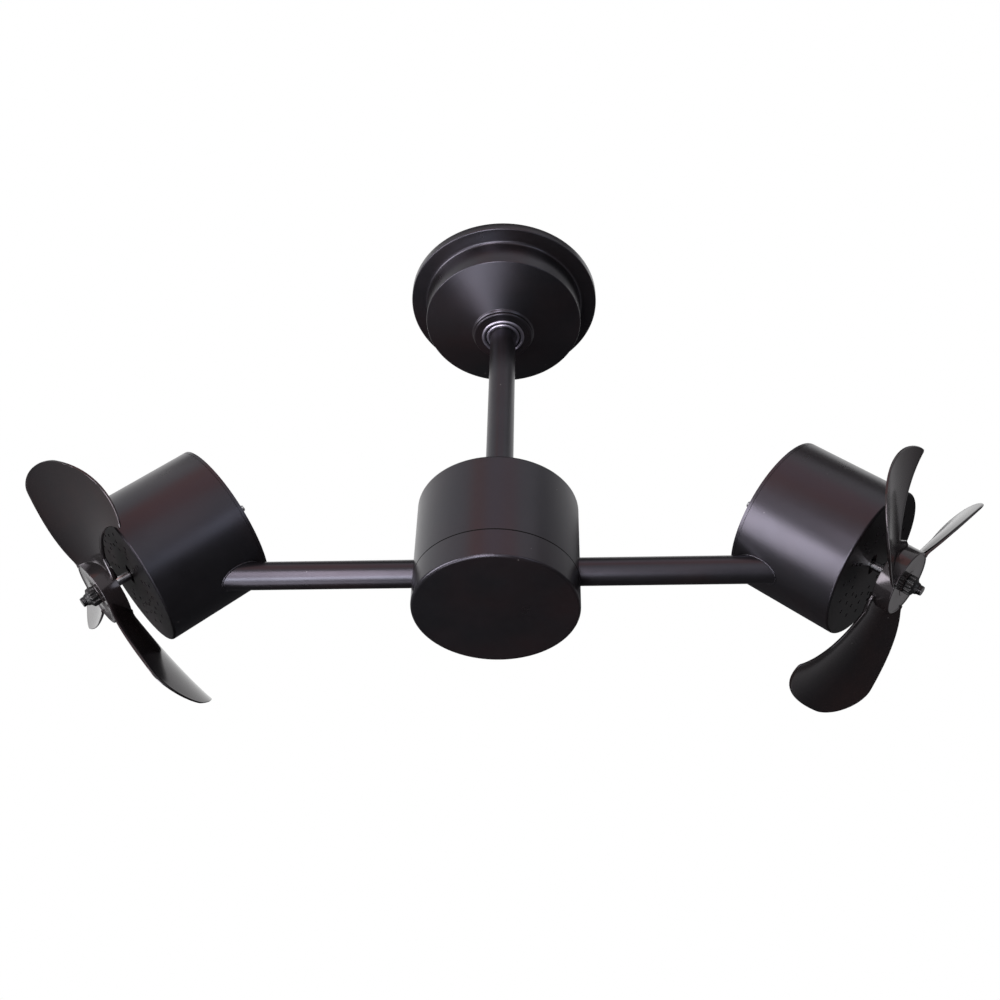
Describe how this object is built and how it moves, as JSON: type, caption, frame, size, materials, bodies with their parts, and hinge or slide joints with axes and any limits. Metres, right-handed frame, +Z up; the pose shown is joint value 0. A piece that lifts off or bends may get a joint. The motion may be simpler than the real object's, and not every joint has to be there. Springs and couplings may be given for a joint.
{
  "type": "twin head ceiling fan",
  "caption": "Ceiling fan with tilted drum-shaped propeller heads on a turning cross arm, hung by a short rod from a stepped round canopy.",
  "frame": {"origin": "on the rod axis in the ceiling plane, at the centre of the bracket's two slots", "axes": "+Z up into the ceiling along the rod; +X along the cross arm towards the right head; -Y towards the viewer of the picture"},
  "size_m": [0.809, 0.2315, 0.4705],
  "materials": {
    "body_paint": "satin black-brown paint",
    "propeller_gloss": "glossy dark brown moulding",
    "nut_black": "semi-gloss black",
    "steel": "bright turned steel",
    "zinc": "zinc-plated steel",
    "alloy": "cast alloy",
    "copper": "copper and sintered bronze",
    "black_plastic": "matte moulding",
    "cream_plastic": "matte moulding",
    "seal": "matte"
  },
  "bodies": {
    "canopy_mount": {"ceiling_bracket": "zinc", "bracket_screws": "steel", "bearing_housing": "body_paint", "bearing_outer_rings": "steel", "bearing_balls": "steel", "mouth_seal": "seal", "canopy": "body_paint", "canopy_ring": "body_paint", "brush_holder": "black_plastic", "terminal_block": "cream_plastic"},
    "turning_frame": {"downrod": "body_paint", "bearing_inner_rings": "steel", "rod_sleeve": "zinc", "rod_clip": "steel", "slip_ring": "copper", "housing_flange": "alloy", "rod_pins": "steel", "housing_top": "body_paint", "housing_top_screws": "steel", "housing_cap": "body_paint", "hub_block_upper": "alloy", "hub_block_lower": "alloy", "clamp_screws": "steel", "stop_pins": "steel", "run_capacitors": "black_plastic", "connector_block": "cream_plastic"},
    "left_head": {"left_arm": "body_paint", "left_arm_collar": "zinc", "left_drum": "body_paint", "left_rear_cap": "body_paint", "left_cap_screws": "steel", "left_motor_bolts": "steel", "left_front_bracket": "alloy", "left_rear_bracket": "alloy", "left_bushings": "copper", "left_stator": "zinc", "left_windings": "copper"},
    "left_spinner": {"left_shaft": "steel", "left_rotor": "zinc", "left_drive_pin": "steel", "left_propeller": "propeller_gloss", "left_clamp_nut": "nut_black"},
    "right_head": {"right_arm": "body_paint", "right_arm_collar": "zinc", "right_drum": "body_paint", "right_rear_cap": "body_paint", "right_cap_screws": "steel", "right_motor_bolts": "steel", "right_front_bracket": "alloy", "right_rear_bracket": "alloy", "right_bushings": "copper", "right_stator": "zinc", "right_windings": "copper"},
    "right_spinner": {"right_shaft": "steel", "right_rotor": "zinc", "right_drive_pin": "steel", "right_propeller": "propeller_gloss", "right_clamp_nut": "nut_black"}
  },
  "joints": [
    {"name": "rod_turn", "type": "hinge", "parent": "canopy_mount", "child": "turning_frame", "pos_m": [0, 0, -0.362], "axis": [0, 0, 1], "continuous": true},
    {"name": "left_arm_turn", "type": "hinge", "parent": "turning_frame", "child": "left_head", "pos_m": [-0.2, 0, -0.362], "axis": [-1, 0, 0], "range_deg": [-90, 90]},
    {"name": "right_arm_turn", "type": "hinge", "parent": "turning_frame", "child": "right_head", "pos_m": [0.2, 0, -0.362], "axis": [1, 0, 0], "range_deg": [-90, 90]},
    {"name": "left_propeller_spin", "type": "hinge", "parent": "left_head", "child": "left_spinner", "pos_m": [-0.3165, 0, -0.362], "axis": [-0.7478, 0, -0.6639], "continuous": true},
    {"name": "right_propeller_spin", "type": "hinge", "parent": "right_head", "child": "right_spinner", "pos_m": [0.3165, 0, -0.362], "axis": [0.7478, -0.0382, -0.6628], "continuous": true}
  ]
}
